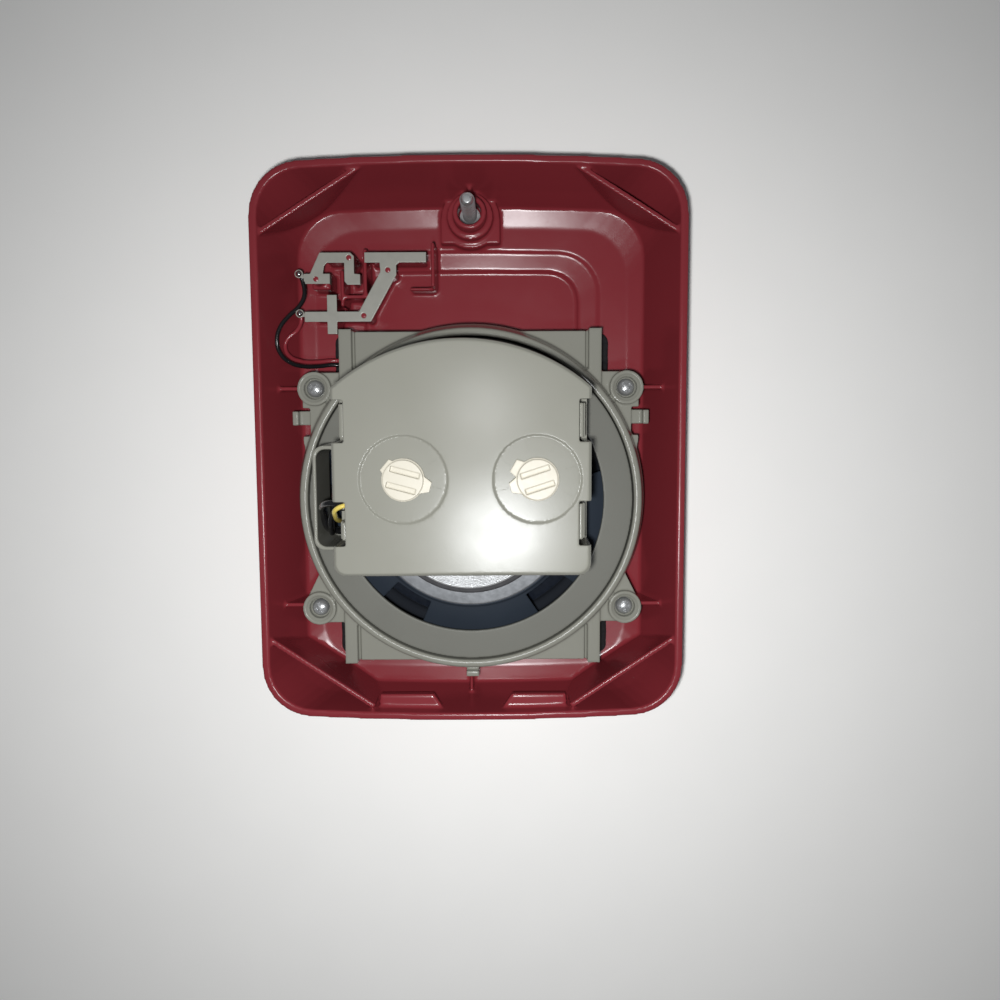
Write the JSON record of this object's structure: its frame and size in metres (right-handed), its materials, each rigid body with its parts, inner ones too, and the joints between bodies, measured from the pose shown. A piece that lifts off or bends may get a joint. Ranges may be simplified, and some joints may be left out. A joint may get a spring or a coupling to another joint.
{
  "type": "fire alarm speaker",
  "caption": "Wall speaker for a fire alarm system: bowed cover with a slotted grille, driver in a round frame, rear housing with tap selectors.",
  "frame": {"origin": "centre of the cover's footprint, on the plane that the front grille rests on", "axes": "+Y towards the edge with the cover screw, +Z from the front grille towards the wall, +X to the right seen from the wall side"},
  "size_m": [0.127, 0.167, 0.0736],
  "materials": {
    "red_plastic": "moulded red plastic, semi-gloss, with fine flow marks",
    "grey_plastic": "moulded warm grey plastic, satin",
    "dark_grey_plastic": "moulded grey plastic, dull",
    "ivory_plastic": "moulded ivory nylon",
    "black_plastic": "glass-filled black plastic",
    "navy_paint": "dark blue-grey painted pressed steel",
    "zinc_steel": "zinc-plated steel",
    "ferrite": "ground ferrite, dark and dull",
    "core_steel": "stacked and varnished laminations",
    "tinned_brass": "tin-plated stamped strip",
    "black_foam": "closed-cell foam",
    "black_rubber": "moulded rubber roll",
    "black_cloth": "open-weave grille cloth",
    "tan_cloth": "resin-dipped corrugated cloth",
    "black_paper": "pressed paper pulp",
    "kapton": "amber film",
    "copper_wire": "enamelled copper wire",
    "brown_board": "phenolic board with tinned lugs",
    "green_board": "glass-epoxy board with green mask",
    "blue_sleeve": "shrink sleeve",
    "black_insulation": "glossy wire insulation",
    "red_insulation": "glossy wire insulation",
    "yellow_insulation": "glossy wire insulation"
  },
  "bodies": {
    "cover": {"cover": "red_plastic", "grille_cloth": "black_cloth", "foam_gasket": "black_foam", "speaker_frame": "grey_plastic", "frame_screws": "zinc_steel", "driver_shroud": "dark_grey_plastic", "basket": "navy_paint", "terminal_strip": "brown_board", "top_plate": "zinc_steel", "magnet": "ferrite", "back_plate": "zinc_steel", "surround": "black_rubber", "spider": "tan_cloth", "housing_base": "grey_plastic", "housing_screws": "zinc_steel", "housing_cover": "grey_plastic", "circuit_board": "green_board", "transformer_core": "core_steel", "transformer_winding": "copper_wire", "blocking_capacitor": "blue_sleeve", "voltage_switch": "black_plastic", "power_switch": "black_plastic", "bus_bar_upper": "tinned_brass", "bus_bar_lower": "tinned_brass", "black_lead": "black_insulation", "red_lead": "red_insulation", "yellow_wire": "yellow_insulation", "speaker_wire": "black_insulation"},
    "cone": {"cone": "black_paper", "dust_cap": "black_paper", "voice_coil_former": "kapton", "voice_coil": "copper_wire"},
    "voltage_knob": {"voltage_knob": "ivory_plastic"},
    "power_knob": {"power_knob": "ivory_plastic"},
    "screw_retainer": {"screw_retainer": "zinc_steel"},
    "captive_screw": {"captive_screw": "zinc_steel"}
  },
  "joints": [
    {"name": "cone_travel", "type": "slide", "parent": "cover", "child": "cone", "axis": [0, 0, 1], "range_m": [-0.001, 0.001], "stiffness_N_per_m": 3000, "deforming": ["surround", "spider"]},
    {"name": "voltage_select", "type": "hinge", "parent": "cover", "child": "voltage_knob", "pos_m": [-0.0162, -0.0064, 0.072], "axis": [0, 0, 1], "range_deg": [0, 45]},
    {"name": "power_select", "type": "hinge", "parent": "cover", "child": "power_knob", "pos_m": [0.0183, -0.0064, 0.072], "axis": [0, 0, 1], "range_deg": [-225, 0]},
    {"name": "screw_float", "type": "slide", "parent": "cover", "child": "screw_retainer", "axis": [0, 0, 1], "range_m": [0, 0.0031]},
    {"name": "screw_turn", "type": "hinge", "parent": "screw_retainer", "child": "captive_screw", "pos_m": [0, 0.0685, 0.03], "axis": [0, 0, 1], "continuous": true}
  ]
}
